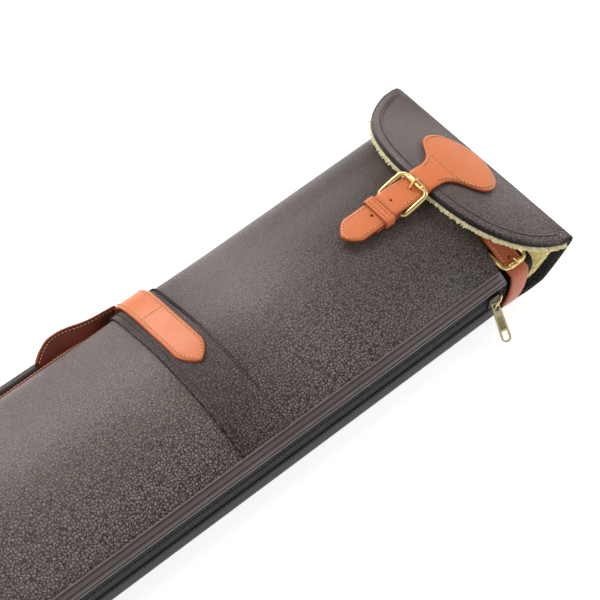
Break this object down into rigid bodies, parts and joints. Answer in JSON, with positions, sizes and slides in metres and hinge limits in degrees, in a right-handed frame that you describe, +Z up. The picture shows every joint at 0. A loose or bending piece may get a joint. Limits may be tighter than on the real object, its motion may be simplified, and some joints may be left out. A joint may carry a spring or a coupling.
{
  "type": "cue case",
  "caption": "Long flat leather case with a fleece lining, a buckled flap over an open mouth, a side zip with a long pull, and a carrying handle on the folded side.",
  "frame": {"origin": "on the resting plane, under the middle line of the mouth", "axes": "+X along the case towards the mouth and flap, +Y towards the handle side, +Z up from the back panel to the front"},
  "size_m": [0.9204, 0.2535, 0.0878],
  "materials": {
    "body_leather": "dark brown pebbled leather with a greyish sheen",
    "smooth_dark_leather": "smooth dark brown leather",
    "tan_leather": "smooth tan bridle leather with painted edges",
    "binding": "near-black leather binding",
    "fleece": "cream curly fleece",
    "zip_fabric": "black woven zip tape",
    "zip_coil": "black nylon coil",
    "brass": "satin gold brass",
    "pull_brass": "pale antique brass",
    "grip_leather": "dark rolled leather"
  },
  "bodies": {
    "case": {"mouth_sleeve": "body_leather", "lower_sleeve": "body_leather", "fleece_lining": "fleece", "root_fleece": "fleece", "root_binding": "binding", "end_cap": "body_leather", "end_piping": "binding", "end_fleece": "fleece", "front_welt": "smooth_dark_leather", "back_welt": "smooth_dark_leather", "zip_tape_front": "zip_fabric", "zip_tape_back": "zip_fabric", "zip_coil_front": "zip_coil", "zip_coil_back": "zip_coil", "zip_top_stops": "pull_brass", "zip_bottom_stop": "pull_brass", "zip_end_tab": "binding", "mouth_tongue": "binding", "mouth_strap_root": "tan_leather", "flap_buckle_chape": "tan_leather", "flap_buckle_keeper": "tan_leather", "mouth_strap": "tan_leather", "mouth_buckle_frame": "brass", "mouth_buckle_prong": "brass", "mouth_buckle_chape": "tan_leather", "mouth_buckle_keeper": "tan_leather", "handle_wrap_near": "tan_leather", "handle_wrap_far": "tan_leather", "handle_base_strip": "tan_leather"},
    "flap": {"flap_panel": "body_leather", "flap_fleece": "fleece", "flap_binding": "binding", "flap_patch": "tan_leather"},
    "flap_strap": {"flap_strap": "tan_leather"},
    "flap_buckle": {"flap_buckle_frame": "brass"},
    "flap_prong": {"flap_buckle_prong": "brass"},
    "flap_roller": {"flap_buckle_roller": "brass"},
    "mouth_roller": {"mouth_buckle_roller": "brass"},
    "zip_slider": {"zip_slider": "pull_brass", "zip_slider_bail": "brass"},
    "zip_puller": {"zip_puller": "pull_brass"},
    "handle": {"handle_end_near": "tan_leather", "handle_end_far": "tan_leather", "handle_grip": "grip_leather"}
  },
  "joints": [
    {"name": "flap_hinge", "type": "hinge", "parent": "case", "child": "flap", "pos_m": [0.078, 0, 0.048], "axis": [0, 1, 0], "range_deg": [0, 175]},
    {"name": "flap_strap_flex", "type": "hinge", "parent": "flap", "child": "flap_strap", "pos_m": [0.0088, 0.009, 0.08057], "axis": [0, 1, 0], "range_deg": [0, 35]},
    {"name": "flap_buckle_tilt", "type": "hinge", "parent": "case", "child": "flap_buckle", "pos_m": [-0.036, 0.009, 0.0745], "axis": [0, -1, 0], "range_deg": [0, 61.25]},
    {"name": "flap_prong_lift", "type": "hinge", "parent": "case", "child": "flap_prong", "pos_m": [-0.036, 0.009, 0.0745], "axis": [0, -1, 0], "range_deg": [0, 73.5]},
    {"name": "flap_roller_spin", "type": "hinge", "parent": "flap_buckle", "child": "flap_roller", "pos_m": [-0.007, 0.009, 0.0826], "axis": [0, 1, 0], "continuous": true},
    {"name": "mouth_roller_spin", "type": "hinge", "parent": "case", "child": "mouth_roller", "pos_m": [0.0185, -0.09468, 0.05007], "axis": [1, 0, 0], "continuous": true},
    {"name": "zip_slide", "type": "slide", "parent": "case", "child": "zip_slider", "axis": [1, 0, 0], "range_m": [-0.78, 0]},
    {"name": "puller_swing", "type": "hinge", "parent": "zip_slider", "child": "zip_puller", "pos_m": [-0.0155, -0.108, 0.03], "axis": [0, 0, 1], "range_deg": [-35, 50]},
    {"name": "handle_swing", "type": "hinge", "parent": "case", "child": "handle", "pos_m": [-0.421, 0.06896, 0.024], "axis": [0.9997, 0.024, 0], "range_deg": [-40, 45]}
  ],
  "couplings": [
    {"joint": "flap_strap_flex", "follows": "flap_hinge", "ratio": 0.2},
    {"joint": "flap_buckle_tilt", "follows": "flap_hinge", "ratio": 0.35},
    {"joint": "flap_prong_lift", "follows": "flap_hinge", "ratio": 0.42}
  ]
}
